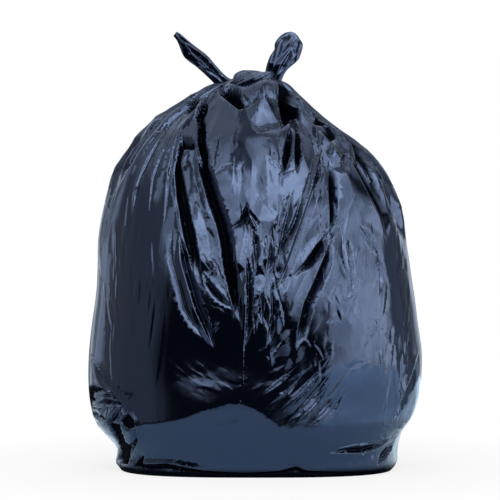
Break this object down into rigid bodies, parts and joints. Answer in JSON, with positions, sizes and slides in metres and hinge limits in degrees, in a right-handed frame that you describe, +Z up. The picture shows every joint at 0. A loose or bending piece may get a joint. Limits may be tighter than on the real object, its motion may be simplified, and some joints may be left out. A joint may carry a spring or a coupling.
{
  "type": "tied bin bag",
  "caption": "Filled plastic refuse bag, gathered and knotted at the top into two upright ears, standing on its flat bottom.",
  "frame": {"origin": "on the ground, under the middle of the bag's width and depth", "axes": "+Z up from the ground through the knot, -Y towards the viewer of the picture, +X to the viewer's right"},
  "size_m": [0.5597, 0.3796, 0.7304],
  "materials": {
    "film": "glossy wrinkled polythene film, black with a blue sheen"
  },
  "bodies": {
    "root": {"tied_bag": "film"}
  },
  "joints": []
}
